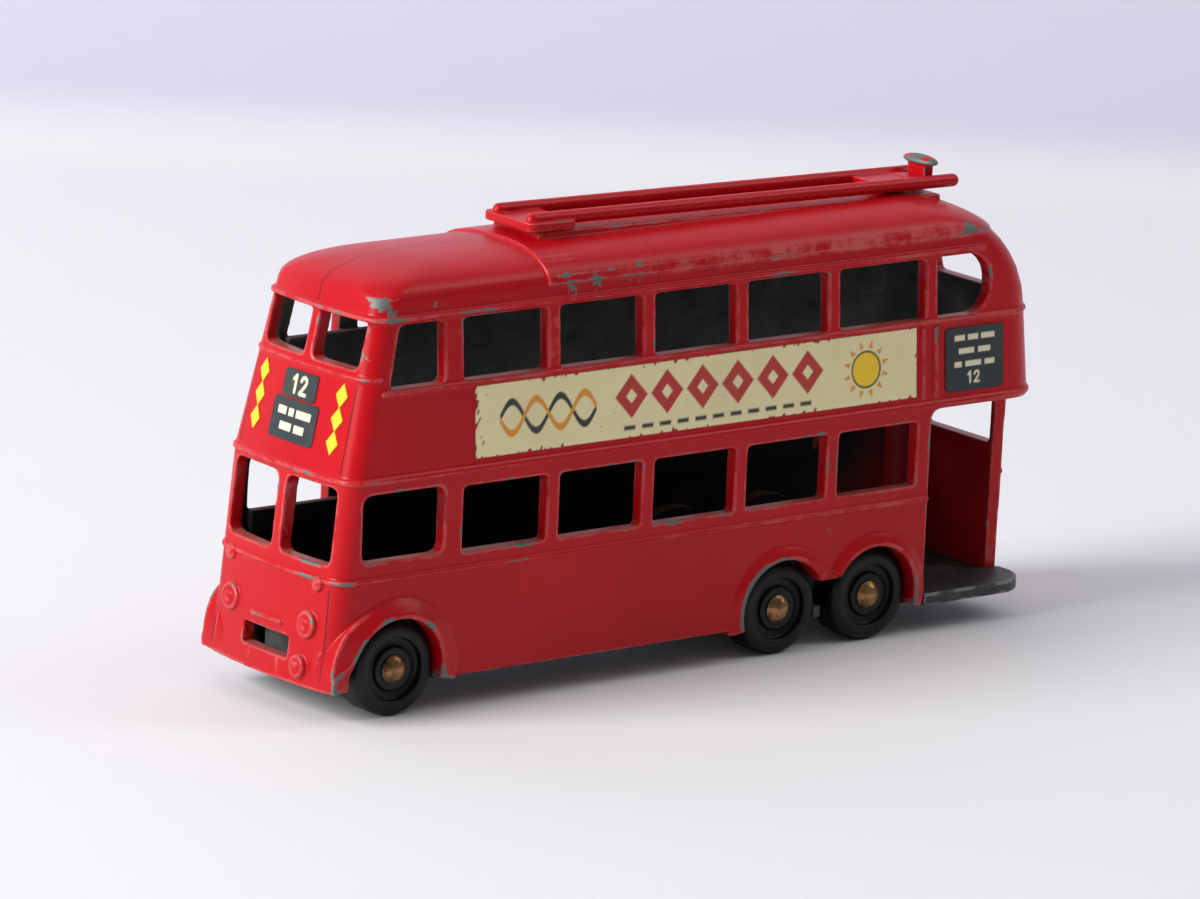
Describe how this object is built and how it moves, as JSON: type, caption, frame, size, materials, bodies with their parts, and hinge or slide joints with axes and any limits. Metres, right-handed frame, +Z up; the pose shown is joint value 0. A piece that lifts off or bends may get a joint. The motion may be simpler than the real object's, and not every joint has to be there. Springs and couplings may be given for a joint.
{
  "type": "toy trolleybus",
  "caption": "Pocket-size double-deck toy trolleybus with a hollow metal body, an open rear platform, roof booms and free-rolling wheels.",
  "frame": {"origin": "on the ground, in the middle of the part's length and width", "axes": "+X forward, +Y towards the platform side (the bus's left), +Z up"},
  "size_m": [0.0669, 0.0168, 0.0351],
  "materials": {
    "red_enamel": "glossy red enamel over zinc, worn at the edges",
    "black_enamel": "worn satin black enamel",
    "boom_enamel": "glossy red enamel over zinc, worn along the tops",
    "axle_metal": "dull brass-coloured metal",
    "wheel": "satin black",
    "cream_transfer": "thin printed film, cream",
    "dark_transfer": "thin printed film, dark slate",
    "yellow_transfer": "thin printed film, yellow"
  },
  "bodies": {
    "chassis": {"body_shell": "red_enamel", "base_plate": "black_enamel", "trolley_booms": "boom_enamel", "left_panel_transfer": "cream_transfer", "right_panel_transfer": "cream_transfer", "left_blind_transfer": "dark_transfer", "right_blind_transfer": "dark_transfer", "front_route_transfer": "dark_transfer", "front_place_transfer": "dark_transfer", "front_left_ornament": "yellow_transfer", "front_right_ornament": "yellow_transfer"},
    "front_axle": {"front_axle": "axle_metal"},
    "middle_axle": {"middle_axle": "axle_metal"},
    "rear_axle": {"rear_axle": "axle_metal"},
    "front_left_wheel": {"front_left_wheel": "wheel"},
    "front_right_wheel": {"front_right_wheel": "wheel"},
    "middle_left_wheel": {"middle_left_wheel": "wheel"},
    "middle_right_wheel": {"middle_right_wheel": "wheel"},
    "rear_left_wheel": {"rear_left_wheel": "wheel"},
    "rear_right_wheel": {"rear_right_wheel": "wheel"}
  },
  "joints": [
    {"name": "front_axle_turn", "type": "hinge", "parent": "chassis", "child": "front_axle", "pos_m": [0.0266, 0, 0.0035], "axis": [0, 1, 0], "continuous": true},
    {"name": "front_left_wheel_roll", "type": "hinge", "parent": "front_axle", "child": "front_left_wheel", "pos_m": [0.0266, 0, 0.0035], "axis": [0, 1, 0], "continuous": true},
    {"name": "front_right_wheel_roll", "type": "hinge", "parent": "front_axle", "child": "front_right_wheel", "pos_m": [0.0266, 0, 0.0035], "axis": [0, 1, 0], "continuous": true},
    {"name": "middle_axle_turn", "type": "hinge", "parent": "chassis", "child": "middle_axle", "pos_m": [-0.0088, 0, 0.0035], "axis": [0, 1, 0], "continuous": true},
    {"name": "middle_left_wheel_roll", "type": "hinge", "parent": "middle_axle", "child": "middle_left_wheel", "pos_m": [-0.0088, 0, 0.0035], "axis": [0, 1, 0], "continuous": true},
    {"name": "middle_right_wheel_roll", "type": "hinge", "parent": "middle_axle", "child": "middle_right_wheel", "pos_m": [-0.0088, 0, 0.0035], "axis": [0, 1, 0], "continuous": true},
    {"name": "rear_axle_turn", "type": "hinge", "parent": "chassis", "child": "rear_axle", "pos_m": [-0.0175, 0, 0.0035], "axis": [0, 1, 0], "continuous": true},
    {"name": "rear_left_wheel_roll", "type": "hinge", "parent": "rear_axle", "child": "rear_left_wheel", "pos_m": [-0.0175, 0, 0.0035], "axis": [0, 1, 0], "continuous": true},
    {"name": "rear_right_wheel_roll", "type": "hinge", "parent": "rear_axle", "child": "rear_right_wheel", "pos_m": [-0.0175, 0, 0.0035], "axis": [0, 1, 0], "continuous": true}
  ]
}
